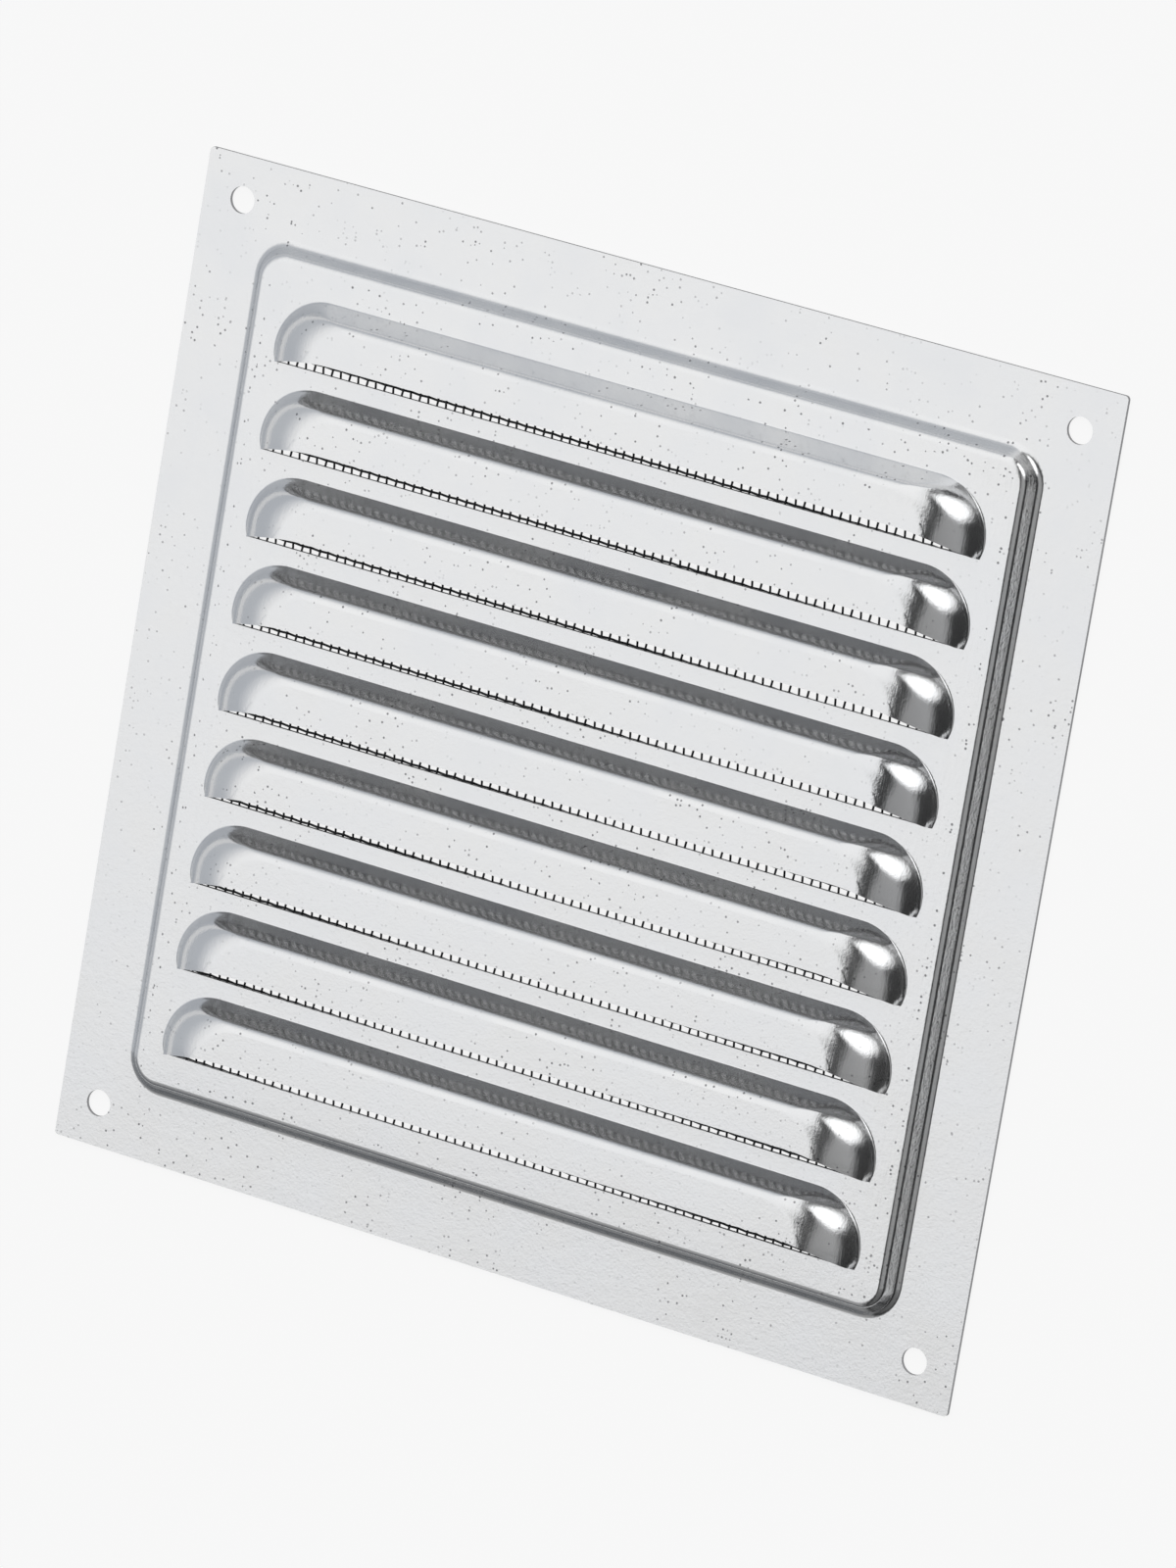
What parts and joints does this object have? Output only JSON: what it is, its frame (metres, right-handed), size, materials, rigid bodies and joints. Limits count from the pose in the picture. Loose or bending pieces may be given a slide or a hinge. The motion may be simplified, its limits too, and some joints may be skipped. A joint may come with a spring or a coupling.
{
  "type": "louvred sheet metal panel",
  "caption": "Square stamped steel wall vent: flat flange with screw holes, raised pan, rows of louvre hoods with domed ends, and a wire insect screen behind.",
  "frame": {"origin": "centre of the flange's back face, which lies against the wall", "axes": "+Z out of the wall through the panel's front, +Y up the wall, louvres open towards -Y"},
  "size_m": [0.15, 0.15, 0.0076],
  "materials": {
    "galvanised_steel": "satin zinc",
    "screen_wire": "dull drawn wire"
  },
  "bodies": {
    "root": {"louvre_panel": "galvanised_steel", "insect_screen": "screen_wire"}
  },
  "joints": []
}
